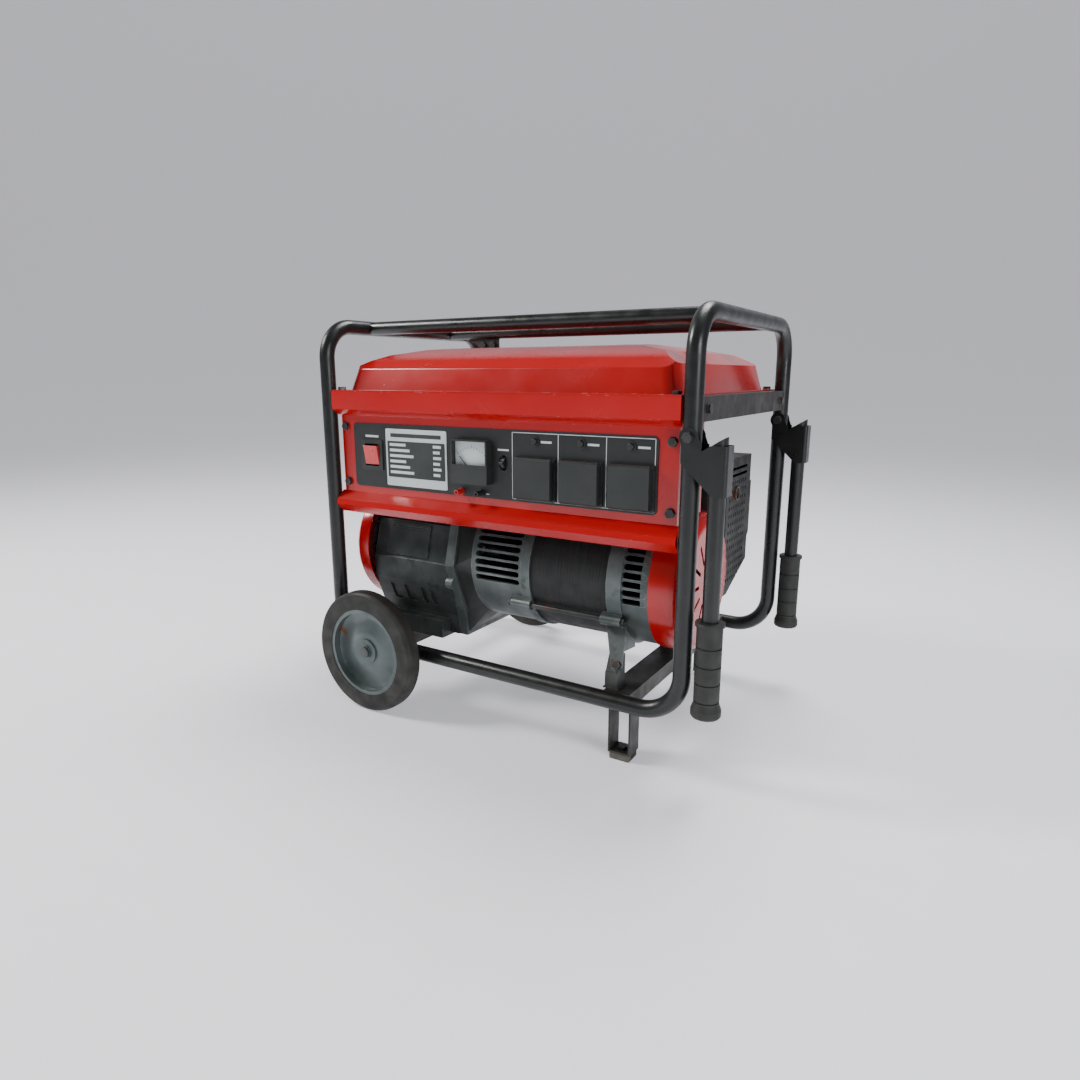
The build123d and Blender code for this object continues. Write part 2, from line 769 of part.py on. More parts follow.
# Engine switch and breaker: bodies behind the panel, each with a rocking part on a cross pin
rock_y = face_y + 0.5
breaker_in = face_y - 4.0
disc_r = 11.0
disc_wide = 7.0
with BuildPart() as switch_bodies:
    with BuildSketch(front(plate_y)):
        with Locations((switch_x, switch_z)):
            RectangleRounded(52, 56, 2)
    extrude(amount=2.5)
    with BuildSketch(front(plate_y)):
        with Locations((switch_x, switch_z)):
            Rectangle(45, 49)
    extrude(amount=-26)
    with BuildSketch(front(plate_y + 2.5)):
        with Locations((switch_x, switch_z)):
            Rectangle(rocker_wide + 2 * loose_gap, rocker_high + 6)
    extrude(amount=-20, mode=Mode.SUBTRACT)
    with BuildSketch(end(switch_x)):
        with Locations((-rock_y, switch_z)):
            Circle(1.5)
    extrude(amount=rocker_wide / 2 + 2, both=True)
    with BuildSketch(front(face_y)):
        with Locations((breaker_x, breaker_z)):
            Rectangle(20, 36)
    extrude(amount=-24)
    with BuildSketch(front(face_y)):
        with Locations((breaker_x, breaker_z)):
            Rectangle(disc_wide + 2 * loose_gap, 2 * disc_r + 4)
    extrude(amount=-18, mode=Mode.SUBTRACT)
    with BuildSketch(end(breaker_x)):
        with Locations((-breaker_in, breaker_z)):
            Circle(1.5)
    extrude(amount=disc_wide / 2 + 2, both=True)
keep(switch_bodies, "switch_bodies")

with BuildPart() as switch_rocker:
    with BuildSketch(end(switch_x)):
        with Locations((-rock_y, switch_z)):
            Circle(4.5)
        with BuildLine():
            Polyline(
                (-rock_y + 2, switch_z - rocker_high / 2 + 3),
                (-rock_y - 3.5, switch_z - rocker_high / 2),
                (-rock_y - 9.5, switch_z + rocker_high / 2),
                (-rock_y - 1, switch_z + rocker_high / 2 - 1),
                close=True,
            )
        make_face()
        with Locations((-rock_y, switch_z)):
            Circle(1.5 + slide_gap, mode=Mode.SUBTRACT)
    extrude(amount=rocker_wide / 2, both=True)
keep(switch_rocker, "switch_rocker")

with BuildPart() as breaker_lever:
    with BuildSketch(end(breaker_x)):
        with Locations((-breaker_in, breaker_z)):
            Circle(disc_r)
        with Locations((-breaker_in - disc_r, breaker_z)):
            RectangleRounded(7, 5, 2)
        with Locations((-breaker_in, breaker_z)):
            Circle(1.5 + slide_gap, mode=Mode.SUBTRACT)
    extrude(amount=disc_wide / 2, both=True)
keep(breaker_lever, "breaker_lever")

# Outlets: base with a hinge pin for the lid, and a lid that springs shut
base_thick = 2.0
lid_back = plate_y + base_thick + loose_gap
lid_front = lid_back + lid_deep
pin_y = lid_back + lid_pivot_in
pin_z = lid_top - lid_pivot_in
with BuildPart() as outlet_sockets:
    with BuildSketch(front(plate_y)):
        with Locations(*[(x, socket_mid - 1) for x in lid_x]):
            RectangleRounded(lid_wide + 8, lid_high + 5, 2)
    extrude(amount=base_thick)
    with BuildSketch(front(plate_y)):
        with Locations(*[(x, socket_mid) for x in lid_x]):
            Circle(24)
    extrude(amount=base_thick + 6)
    with BuildSketch(front(plate_y)):
        with Locations(*[(x, socket_mid) for x in lid_x]):
            Rectangle(49, 49)
    extrude(amount=-28)
    with BuildSketch(front(plate_y + base_thick + 6)):
        for x in lid_x:
            with Locations((x, socket_mid - 11)):
                Rectangle(1.8, 7)
            with Locations((x - 8, socket_mid + 7)):
                Rectangle(1.8, 7, rotation=30)
            with Locations((x + 8, socket_mid + 7)):
                Rectangle(1.8, 7, rotation=-30)
    extrude(amount=-16, mode=Mode.SUBTRACT)
    ear = 3.0
    for x in lid_x:
        for side in (-1, 1):
            with BuildSketch(end(x + side * (lid_wide / 2 + loose_gap))):
                with Locations((-(plate_y + pin_y + 2.5) / 2, pin_z)):
                    Rectangle(pin_y + 2.5 - plate_y, 6)
            extrude(amount=side * ear)
        with BuildSketch(end(x)):
            with Locations((-pin_y, pin_z)):
                Circle(pin_r)
        extrude(amount=lid_wide / 2 + 1, both=True)
keep(outlet_sockets, "outlet_sockets")


def outlet_lid(x, number):
    """Hollow lid; its top edge is round about the hinge pin so that it clears the base."""
    wall = 2.0
    with BuildPart() as lid:
        with BuildSketch(end(x)):
            with BuildLine():
                Polyline(
                    (-lid_back, pin_z),
                    (-lid_back, lid_top - lid_high),
                    (-lid_front + 1.5, lid_top - lid_high),
                    (-lid_front, lid_top - lid_high + 1.5),
                    (-lid_front, lid_top - 3),
                    (-lid_front + 3, lid_top),
                    (-pin_y, lid_top),
                )
                RadiusArc((-pin_y, lid_top), (-lid_back, pin_z), lid_pivot_in)
            make_face()
        extrude(amount=lid_wide / 2, both=True)
        with BuildSketch(front(lid_back)):
            with Locations((x, socket_mid - 0.2)):
                Rectangle(lid_wide - 2 * wall, lid_high - 2 * wall)
        extrude(amount=lid_deep - wall, mode=Mode.SUBTRACT)
        with BuildSketch(end(x)):
            with Locations((-pin_y, pin_z)):
                Circle(pin_r + slide_gap)
        extrude(amount=lid_wide, both=True, mode=Mode.SUBTRACT)
    keep(lid, f"outlet_lid_{number}")


for number, x in enumerate(lid_x, start=1):
    outlet_lid(x, number)


def reset_button(x, number):
    """Button that goes in through the panel; a collar behind keeps it from falling out."""
    with BuildPart() as button:
        with BuildSketch(front(face_y - 3)):
            with Locations((x, button_z)):
                Circle(button_r)
        extrude(amount=3 + panel_thick + 5)
        fillet(button.faces().sort_by(Axis.Y)[0].edges(), radius=1)
        with BuildSketch(front(face_y - loose_gap)):
            with Locations((x, button_z)):
                Circle(button_r + 1.5)
        extrude(amount=-2.5)
    keep(button, f"reset_button_{number}")


for number, x in enumerate(button_x, start=1):
    reset_button(x, number)

with BuildPart() as terminal_posts:
    with BuildSketch(front(plate_y)):
        with Locations(*[(x, post_z) for x in post_x]):
            Circle(post_r + 1.7)
    extrude(amount=2)
    with BuildSketch(front(plate_y)):
        with Locations(*[(x, post_z) for x in post_x]):
            Circle(post_r)
    extrude(amount=16)
    with BuildSketch(front(plate_y)):
        with Locations(*[(x, post_z) for x in post_x]):
            Circle(3)
    extrude(amount=-14)
    with BuildSketch(front(plate_y + 16)):
        with Locations(*[(x, post_z) for x in post_x]):
            Circle(2)
    extrude(amount=-13, mode=Mode.SUBTRACT)
keep(terminal_posts, "terminal_posts")

# ---------------------------------------------------------------- engine
case_half = 103.0
case_profile = [(78, -154), (78, -118), (case_half, -55), (case_half, -13), (101, -11), (82, 58)]
base_low = beam_top + 5
base_left = -290.0
base_right = -142.0
web_r = 62.0
deck = 90.0              # from the shaft line up the leaning cylinder to its foot
leaning = Plane(
    origin=(mid + cylinder_x, shaft_y, shaft_z),
    x_dir=(1, 0, 0),
    z_dir=(0, sin(radians(lean)), cos(radians(lean))),
)
with BuildPart() as crankcase:
    with BuildSketch(shaft_plane(case_left)):
        with BuildLine():
            Polyline(*case_profile, *[(-y, z) for y, z in reversed(case_profile)], close=True)
        make_face()
    extrude(amount=case_right - case_left)
    with BuildSketch(level(base_low)):
        with Locations(((base_left + base_right) / 2, shaft_y)):
            Rectangle(base_right - base_left, 200)
    extrude(amount=35)
    with BuildSketch(leaning.offset(30)):
        RectangleRounded(118, 112, 8)
    extrude(amount=deck - 30)
    slope = Plane(
        origin=(mid - 223.5, shaft_y - 91.5, shaft_z + 23.5),
        x_dir=(1, 0, 0),
        z_dir=(0, -69, 19),
    )
    with BuildSketch(slope.offset(-2)):
        RectangleRounded(100, 62, 3)
    extrude(amount=5.2)
    with BuildSketch(slope.offset(3.2)):
        with Locations((0, 24)):
            Rectangle(88, 4)
    extrude(amount=-1.5, mode=Mode.SUBTRACT)
    under = Plane(origin=(mid - 215, shaft_y - 90.5, shaft_z - 86.5), x_dir=(1, 0, 0), z_dir=(0, -63, -25))
    with BuildSketch(under):
        with Locations((-48, 2)):
            RectangleRounded(22, 36, 3)
        with Locations((-12, 2)):
            RectangleRounded(24, 38, 3)
        with Locations((24, 2)):
            RectangleRounded(14, 38, 3)
        with Locations((46, 2)):
            RectangleRounded(14, 38, 3)
    extrude(amount=-3, mode=Mode.SUBTRACT)
    with BuildSketch(shaft_plane(case_left + 12)):
        Circle(web_r + 6)
    extrude(amount=case_right - case_left, mode=Mode.SUBTRACT)
    with BuildSketch(shaft_plane(case_left)):
        Circle(30)
    extrude(amount=20, mode=Mode.SUBTRACT)
    with BuildSketch(leaning):
        Circle(bore_r)
    extrude(amount=deck + 1, mode=Mode.SUBTRACT)
keep(crankcase, "crankcase")

cover_profile = [(76, -154), (80, -112), (116, -8), (96, 67), (90, 74), (40, 74), (30, 104)]
with BuildPart() as side_cover:
    with BuildSketch(shaft_plane(case_right)):
        with BuildLine():
            Polyline(*cover_profile, *[(-y, z) for y, z in reversed(cover_profile)], close=True)
        make_face()
        Circle(26, mode=Mode.SUBTRACT)
    extrude(amount=cover_right - case_right)
    with BuildSketch(shaft_plane(case_right)):
        with Locations((-case_half - 3, -44), (case_half + 3, -44)):
            Circle(11)
    extrude(amount=14)
keep(side_cover, "side_cover")

with BuildPart() as cylinder:
    with BuildSketch(leaning.offset(deck)):
        RectangleRounded(104, 104, 20)
    extrude(amount=104)
    fin_pitch = 9.0
    for fin in range(11):
        with BuildSketch(leaning.offset(deck + 6 + fin * fin_pitch)):
            RectangleRounded(128, 124, 14)
        extrude(amount=2.6)
    with BuildSketch(leaning.offset(deck + 104)):
        RectangleRounded(120, 116, 10)
    extrude(amount=28)
    with BuildSketch(leaning.offset(deck)):
        Circle(bore_r)
    extrude(amount=98, mode=Mode.SUBTRACT)
keep(cylinder, "cylinder")

with BuildPart() as head_cover:
    with BuildSketch(leaning.offset(deck + 132)):
        RectangleRounded(108, 96, 14)
    extrude(amount=24)
    fillet(head_cover.faces().sort_by(Axis(leaning.origin, leaning.z_dir))[-1].edges(), radius=6)
keep(head_cover, "head_cover")

# Crankshaft with its webs, crank pin, flywheel and the long nose that carries the rotor
rotor_left = 76.0
rotor_right = 208.0
stator_bore = 76.0
air_gap = 1.5
flywheel_r = 100.0
shaft_left = -333.0
with BuildPart() as crankshaft:
    with BuildSketch(shaft_plane(shaft_left)):
        Circle(shaft_r)
    extrude(amount=-222 - 30 - shaft_left)
    with BuildSketch(shaft_plane(-222 + 30)):
        Circle(shaft_r)
    extrude(amount=bell_right - 2 + 222 - 30)
    for x in (-222 - 44, -222 + 30):
        with BuildSketch(shaft_plane(x)):
            Circle(web_r - 8)
        extrude(amount=14)
    with BuildSketch(shaft_plane(-222 - 30)):
        with Locations((0, -30)):
            Circle(16)
    extrude(amount=60)
    with BuildSketch(shaft_plane(shaft_left)):
        Circle(flywheel_r)
        with PolarLocations(flywheel_r, 24):
            Rectangle(14, 4, mode=Mode.SUBTRACT)
    extrude(amount=18)
keep(crankshaft, "crankshaft")

with BuildPart() as rotor:
    with BuildSketch(shaft_plane(rotor_left)):
        Circle(stator_bore - air_gap)
        for angle in (0, 180):
            with PolarLocations(stator_bore - 14, 2, start_angle=angle):
                Rectangle(36, 14, mode=Mode.SUBTRACT)
        Circle(shaft_r, mode=Mode.SUBTRACT)
    extrude(amount=rotor_right - rotor_left)
keep(rotor, "rotor")

bearing_wide = 12.0
bearing_left = bell_right - bearing_wide - 2
with BuildPart() as bearings:
    for x in (case_left, case_right + 3.5, bearing_left):
        with BuildSketch(shaft_plane(x)):
            Circle(26)
            Circle(shaft_r + slide_gap, mode=Mode.SUBTRACT)
        extrude(amount=bearing_wide)
keep(bearings, "bearings")

# Recoil starter over the flywheel, with rows of air slots round its shoulder
recoil_r = 121.0
recoil_left = -345.0
grip_y = -60.0
grip_z = 372.0
with BuildPart() as recoil_cover:
    with BuildSketch(Plane(origin=(mid, shaft_y, shaft_z), x_dir=(1, 0, 0), z_dir=(0, -1, 0))) as shell:
        with BuildLine():
            Polyline(
                (case_left, 0),
                (case_left, recoil_r),
                (recoil_left + 13, recoil_r),
            )
            RadiusArc((recoil_left + 13, recoil_r), (recoil_left, recoil_r - 16), -22)
            Polyline((recoil_left, recoil_r - 16), (recoil_left, 0), (case_left, 0))
        make_face()
        with Locations(((recoil_left + skin + case_left) / 2, (recoil_r - 14) / 2)):
            Rectangle(case_left - recoil_left - skin, recoil_r - 14, mode=Mode.SUBTRACT)
        with Locations(((recoil_left + 14 + case_left) / 2, (recoil_r - skin) / 2)):
            Rectangle(case_left - recoil_left - 14, recoil_r - skin, mode=Mode.SUBTRACT)
    revolve(axis=Axis((mid, shaft_y, shaft_z), (1, 0, 0)))
    slot_count = 36
    with BuildSketch(shaft_plane(recoil_left)):
        with PolarLocations(recoil_r - 6.5, slot_count):
            Rectangle(15, 12)
    extrude(amount=9, mode=Mode.SUBTRACT)
    with BuildSketch(shaft_plane(recoil_left)):
        with PolarLocations(62, 12):
            SlotCenterToCenter(44, 7)
    extrude(amount=skin, mode=Mode.SUBTRACT)
    with BuildSketch(shaft_plane(recoil_left)):
        with Locations((grip_y - shaft_y, grip_z - shaft_z)):
            Circle(5)
    extrude(amount=skin, mode=Mode.SUBTRACT)
keep(recoil_cover, "recoil_cover")

with BuildPart() as recoil_grip:
    with BuildSketch(end(recoil_left - loose_gap)):
        with Locations((grip_y, grip_z)):
            Circle(9)
    extrude(amount=-14)
    with BuildSketch(end(recoil_left - 12)):
        with Locations((grip_y, grip_z)):
            SlotOverall(78, 20)
    extrude(amount=-16)
    fillet(recoil_grip.edges().filter_by(lambda e: e.center().X < mid + recoil_left - 20), radius=5)
keep(recoil_grip, "recoil_grip")

# Air cleaner behind the cylinder, on the side away from the exhaust
with BuildPart() as air_cleaner:
    with BuildSketch(level(345)):
        with Locations((-262, 118)):
            RectangleRounded(136, 106, 18)
    extrude(amount=118)
    fillet(air_cleaner.faces().sort_by(Axis.Z)[-1].edges(), radius=8)
    with BuildSketch(level(430)):
        with Locations((-262, 118)):
            RectangleRounded(142, 112, 20)
            RectangleRounded(134, 104, 17, mode=Mode.SUBTRACT)
    extrude(amount=5)
    with BuildSketch(front(-66)):
        with Locations((-262, 402)):
            Circle(19)
    extrude(amount=26)
keep(air_cleaner, "air_cleaner")

# Muffler and its perforated guard, behind the alternator
muffler_left = -50.0
muffler_right = 296.0
muffler_front = 50.0
muffler_back = 158.0
muffler_low = 262.0
muffler_high = 462.0
guard_left = -62.0
guard_right = 330.0
guard_front = 34.0
guard_back = 174.0
guard_low = 231.0
guard_high = 484.0
guard_thick = 2.0
pipe_z = 430.0
port_z = 482.0
with BuildPart() as muffler:
    with BuildSketch(end(muffler_left)):
        with Locations(((muffler_front + muffler_back) / 2, (muffler_low + muffler_high) / 2)):
            RectangleRounded(muffler_back - muffler_front, muffler_high - muffler_low, 40)
    extrude(amount=muffler_right - muffler_left)
    fillet(muffler.faces().sort_by(Axis.X)[-1].edges(), radius=8)
    with BuildSketch(end(muffler_left + skin)):
        with Locations(((muffler_front + muffler_back) / 2, (muffler_low + muffler_high) / 2)):
            RectangleRounded(muffler_back - muffler_front - 2 * skin, muffler_high - muffler_low - 2 * skin, 38)
    extrude(amount=muffler_right - muffler_left - 12, mode=Mode.SUBTRACT)
    pipe_route = [
        (mid - 162, -7, port_z),
        (mid - 112, -7, port_z),
        (mid - 112, 92, pipe_z),
        (mid + muffler_left + 5, 92, pipe_z),
    ]
    with BuildLine() as pipe:
        FilletPolyline(*pipe_route, radius=26)
    with BuildSketch(pipe.line ^ 0):
        Circle(15)
        Circle(12.5, mode=Mode.SUBTRACT)
    sweep(path=pipe.line)
    with BuildSketch(end(muffler_right - 12)):
        with Locations((88, 418)):
            Circle(13)
            Circle(10.5, mode=Mode.SUBTRACT)
    extrude(amount=guard_right - muffler_right + 16)
keep(muffler, "muffler")

with BuildPart() as muffler_guard:
    middle_y = (guard_front + guard_back) / 2
    middle_z = (guard_low + guard_high) / 2
    with BuildSketch(end(guard_left)):
        with BuildLine():
            Polyline(
                (guard_front, guard_high),
                (guard_back, guard_high),
                (guard_back, 432),
                (guard_back + 8, 432),
                (guard_back + 8, 330),
                (guard_back, 322),
                (guard_back, 278),
                (guard_front + 26, guard_low),
                (guard_front, guard_low),
                close=True,
            )
        make_face()
    extrude(amount=guard_right - guard_left)
    with BuildSketch(end(guard_left), mode=Mode.PRIVATE) as hollow:
        with BuildLine():
            Polyline(
                (guard_front, guard_high),
                (guard_back, guard_high),
                (guard_back, 432),
                (guard_back + 8, 432),
                (guard_back + 8, 330),
                (guard_back, 322),
                (guard_back, 278),
                (guard_front + 26, guard_low),
                (guard_front, guard_low),
                close=True,
            )
        make_face()
        offset(amount=-guard_thick, kind=Kind.INTERSECTION)
    extrude(hollow.sketch, amount=guard_right - guard_left - guard_thick, mode=Mode.SUBTRACT)
    with BuildSketch(end(guard_right)):
        with Locations((middle_y - 5, 348)):
            with GridLocations(13, 15, 8, 13):
                SlotOverall(8, 5, rotation=90)
        with Locations((88, 418)):
            Circle(20, mode=Mode.SUBTRACT)
    extrude(amount=-guard_thick, mode=Mode.SUBTRACT)
    with BuildSketch(end(guard_right)):
        with Locations((88, 418)):
            Circle(14)
    extrude(amount=-guard_thick, mode=Mode.SUBTRACT)
    with BuildSketch(end(guard_right)):
        with Locations((middle_y, 452), (middle_y, 464)):
            SlotOverall(96, 5)
    extrude(amount=-guard_thick, mode=Mode.SUBTRACT)
    with BuildSketch(front(-guard_back - 8)):
        with Locations((130, 381)):
            with GridLocations(28, 15, 12, 5):
                SlotOverall(18, 6)
    extrude(amount=guard_thick, mode=Mode.SUBTRACT)
    with BuildSketch(level(guard_high)):
        with Locations((134, middle_y)):
            with GridLocations(40, 44, 8, 2):
                SlotOverall(26, 6)
    extrude(amount=-guard_thick, mode=Mode.SUBTRACT)
keep(muffler_guard, "muffler_guard")
# ---------------------------------------------------------------- alternator
housing_r = 108.0
with BuildPart() as fan_housing:
    inset = 6.0
    with BuildSketch(shaft_plane(cover_right)):
        with BuildLine():
            narrow = [(y - inset, z + (inset if z < -100 else 0)) for y, z in cover_profile]
            Polyline(*narrow, *[(-y, z) for y, z in reversed(narrow)], close=True)
        make_face()
    with BuildSketch(shaft_plane(bell_left)):
        Circle(housing_r)
    loft()
    with BuildSketch(shaft_plane(cover_right)):
        Circle(72)
    extrude(amount=bell_left - cover_right, taper=-35, mode=Mode.SUBTRACT)
keep(fan_housing, "fan_housing")


def slot_angles(first):
    """Angles of the cooling slots: a group low at the front and the same at the rear."""
    group = [first + slot_pitch * step for step in range(-4, 6)]
    return group + [180 - angle for angle in group]


slot_high = 10.5
slot_first = 153.8
rod_angles = (207, 333, 120, 60)
ear_boss_r = 9.0


def slot_plane(x, angle):
    """Plane just outside the bell, facing out, for a slot that runs along the shaft."""
    out_y, out_z = polar(1, angle)
    y, z = polar(bell_r + 4, angle)
    return Plane(origin=(mid + x, shaft_y + y, shaft_z + z), x_dir=(1, 0, 0), z_dir=(0, out_y, out_z))


with BuildPart() as front_bell:
    with BuildSketch(shaft_plane(bell_left)):
        Circle(bell_r)
        Circle(bell_r - bell_wall, mode=Mode.SUBTRACT)
    extrude(amount=ring_left - bell_left)
    with BuildSketch(shaft_plane(ring_left)):
        Circle(bell_r + 2.5)
        Circle(bell_r - bell_wall, mode=Mode.SUBTRACT)
    extrude(amount=ring_right - ring_left)
    for angle in slot_angles(slot_first):
        with BuildSketch(slot_plane(-1.5, angle)):
            SlotOverall(94, slot_high)
        extrude(amount=-(bell_wall + 8), mode=Mode.SUBTRACT)
    for angle in rod_angles:
        with BuildSketch(shaft_plane(ring_right - 38)):
            with Locations(polar(rod_ring_r, angle)):
                Circle(ear_boss_r)
            with Locations(polar(rod_ring_r - 6, angle)):
                Rectangle(12, 2 * ear_boss_r, rotation=angle)
        extrude(amount=38)
    with BuildSketch(shaft_plane(ring_left - 40)):
        Circle(bell_r - bell_wall)
        for angle in rod_angles:
            with Locations(polar(rod_ring_r, angle)):
                Circle(rod_r + slide_gap)
    extrude(amount=80, mode=Mode.SUBTRACT)
keep(front_bell, "front_bell")

with BuildPart() as stator:
    with BuildSketch(shaft_plane(ring_right)):
        Circle(bell_r - 1.5)
        Circle(stator_bore, mode=Mode.SUBTRACT)
    extrude(amount=flange_left - ring_right)
keep(stator, "stator")

with BuildPart() as rear_bell:
    with BuildSketch(shaft_plane(flange_left)):
        Circle(cover_r)
        Circle(bell_r - bell_wall, mode=Mode.SUBTRACT)
    extrude(amount=flange_right - flange_left)
    with BuildSketch(shaft_plane(flange_right)):
        Circle(bell_r)
        Circle(bell_r - bell_wall, mode=Mode.SUBTRACT)
    extrude(amount=bell_right - flange_right)
    for angle in slot_angles(slot_first):
        with BuildSketch(slot_plane(264, angle)):
            SlotOverall(43, slot_high)
        extrude(amount=-(bell_wall + 8), mode=Mode.SUBTRACT)
    for angle in rod_angles:
        with BuildSketch(shaft_plane(flange_left - 10)):
            with Locations(polar(rod_ring_r, angle)):
                Circle(ear_boss_r)
            with Locations(polar(rod_ring_r - 4, angle)):
                Rectangle(10, 2 * ear_boss_r, rotation=angle)
        extrude(amount=flange_right - flange_left + 10)
    with BuildSketch(shaft_plane(flange_left - 11)):
        Circle(bell_r - 1.5 + slide_gap)
    extrude(amount=11, mode=Mode.SUBTRACT)
    with BuildSketch(shaft_plane(bearing_left)):
        Circle(bell_r - 1)
        Circle(26, mode=Mode.SUBTRACT)
        with PolarLocations(66, 6):
            Circle(20, mode=Mode.SUBTRACT)
    extrude(amount=bell_right - bearing_left)
    with BuildSketch(shaft_plane(flange_left - 11)):
        for angle in rod_angles:
            with Locations(polar(rod_ring_r, angle)):
                Circle(rod_r + slide_gap)
    extrude(amount=60, mode=Mode.SUBTRACT)
keep(rear_bell, "rear_bell")

with BuildPart() as through_rods:
    for angle in rod_angles:
        with BuildSketch(shaft_plane(ring_left - 26)):
            with Locations(polar(rod_ring_r, angle)):
                Circle(rod_r)
        extrude(amount=flange_right + 8 - ring_left + 26)
        for x, way in ((ring_right - 38, -1), (flange_right, 1)):
            with BuildSketch(shaft_plane(x)):
                with Locations(polar(rod_ring_r, angle)):
                    RegularPolygon(hex_across / 2, 6, major_radius=False)
            extrude(amount=way * 6)
keep(through_rods, "through_rods")

dome_r = 24.0
with BuildPart() as end_cover:
    with BuildSketch(Plane(origin=(mid, shaft_y, shaft_z), x_dir=(1, 0, 0), z_dir=(0, -1, 0))):
        with BuildLine():
            Polyline((bell_right, 0), (bell_right, cover_r), (cover_end - dome_r, cover_r))
            RadiusArc((cover_end - dome_r, cover_r), (cover_end, cover_r - dome_r), dome_r)
            Polyline((cover_end, cover_r - dome_r), (cover_end, 0), (bell_right, 0))
        make_face()
    revolve(axis=Axis((mid, shaft_y, shaft_z), (1, 0, 0)))
    with BuildSketch(shaft_plane(bell_right)):
        Circle(cover_r - dome_r)
    extrude(amount=cover_end - bell_right - skin, mode=Mode.SUBTRACT)
    with BuildSketch(shaft_plane(bell_right)):
        Circle(cover_r - skin)
    extrude(amount=cover_end - bell_right - dome_r, mode=Mode.SUBTRACT)
    with BuildSketch(shaft_plane(cover_end)):
        with PolarLocations(58, 12):
            SlotOverall(40, 6)
    extrude(amount=-skin, mode=Mode.SUBTRACT)
keep(end_cover, "end_cover")

# Feet: a saddle under the rear bell, its two legs and the rubber mounts below
mount_left = 224.0
mount_right = 246.0
mount_front = -226.0
mount_deep = 30.0
mount_step = 156.0       # top of the rubber block
mount_top = 182.0        # top of the wedge that the leg is bolted to
leg_low = 158.0
leg_rise = 66.0
leg_run = 31.0
leg_long = (leg_rise**2 + leg_run**2) ** 0.5
leg_back = mount_front + sheet * leg_long / leg_rise
saddle_left = 219.0
saddle_right = 239.0
leg_bolt_x = 242.0
leg_bolt_up = 12.0
leg_face = Plane(
    origin=(mid, mount_front, leg_low), x_dir=(1, 0, 0), z_dir=(0, -leg_rise, leg_run)
)
shaft_mirror = Plane(origin=(mid, shaft_y, shaft_z), z_dir=(0, 1, 0))
with BuildPart() as alternator_foot:
    with BuildSketch(shaft_plane(saddle_left)):
        Circle(cover_r + 3)
        Circle(cover_r, mode=Mode.SUBTRACT)
        with Locations((0, 32)):
            Rectangle(400, 192, mode=Mode.SUBTRACT)
    extrude(amount=saddle_right - saddle_left)
    with BuildSketch(leg_face):
        with BuildLine():
            Polyline((232, 10), (209, leg_long + 2), (246, leg_long + 2), (252, 10), close=True)
        make_face()
        with Locations((leg_bolt_x, leg_bolt_up)):
            Circle(10)
            Circle(bolt_r + slide_gap, mode=Mode.SUBTRACT)
    extrude(amount=-sheet)
    with BuildSketch(end(243)):
        with BuildLine():
            Polyline(
                (leg_back + 13, mount_top + 3),
                (mount_front + leg_run + 3, leg_low + leg_rise),
                (-150, 184),
                (-150, 178),
                close=True,
            )
        make_face()
    extrude(amount=-sheet)
    mirror(about=shaft_mirror)
    with BuildSketch(shaft_plane(200)):
        Circle(cover_r)
    extrude(amount=60, mode=Mode.SUBTRACT)
keep(alternator_foot, "alternator_foot")

engine_pads = [(axle_x, shaft_y + 75), (axle_x, shaft_y - 75)]
with BuildPart() as rubber_mounts:
    with BuildSketch(end(mount_left)):
        with BuildLine():
            Polyline(
                (mount_front, beam_top),
                (mount_front, mount_step),
                (leg_back + (mount_step - leg_low) * leg_run / leg_rise, mount_step),
                (leg_back + (mount_top - leg_low) * leg_run / leg_rise, mount_top),
                (mount_front + mount_deep, mount_top),
                (mount_front + mount_deep, beam_top),
                close=True,
            )
        make_face()
    extrude(amount=mount_right - mount_left)
    with BuildSketch(level(beam_top)):
        with Locations(((mount_left + mount_right) / 2, mount_front + mount_deep / 2)):
            Rectangle(mount_right - mount_left + 6, mount_deep + 3)
    extrude(amount=1.5)
    with BuildSketch(leg_face.offset(-sheet)):
        with Locations((leg_bolt_x, leg_bolt_up)):
            Circle(bolt_r)
    extrude(amount=-(bolt_reach - sheet), mode=Mode.SUBTRACT)
    mirror(about=shaft_mirror)
    with BuildSketch(level(beam_top)):
        with Locations(*engine_pads):
            Rectangle(42, 44)
    extrude(amount=base_low - beam_top)
keep(rubber_mounts, "rubber_mounts")

# ---------------------------------------------------------------- bolts, all the same size
rail_mid = rail_top - rail_high / 2
lift_bolt_z = lift_low + 9
front_seats = [(face_y, x, z) for x, z in panel_bolts]
front_seats += [(sheet / 2 - long_tube_y, x, lift_bolt_z) for x in (lift_left + 38, lift_right - 14)]
bolt_seats = [Plane(origin=(mid + x, -y, z), x_dir=(1, 0, 0), z_dir=(0, -1, 0)) for y, x, z in front_seats]
for side in (-1, 1):
    bolt_seats += [
        Plane(origin=(mid + side * rail_out, y, rail_mid), x_dir=(0, 1, 0), z_dir=(side, 0, 0))
        for y in (-foot_y, foot_y)
    ]
    bolt_seats += [
        Plane(origin=(mid + x, side * tank_bolt_y, rail_top + flange_thick)) for x in (-tank_bolt_x, tank_bolt_x)
    ]
    bolt_seats.append(Plane(origin=(mid + beam_right_x, side * foot_y, pad_high + sheet)))
leg_seat_y = mount_front + leg_bolt_up * leg_run / leg_long
leg_seat_z = leg_low + leg_bolt_up * leg_rise / leg_long
for side in (-1, 1):
    seat_y = shaft_y + side * (shaft_y - leg_seat_y)
    bolt_seats.append(
        Plane(
            origin=(mid + leg_bolt_x, seat_y, leg_seat_z),
            x_dir=(1, 0, 0),
            z_dir=(0, side * leg_rise, leg_run),
        )
    )
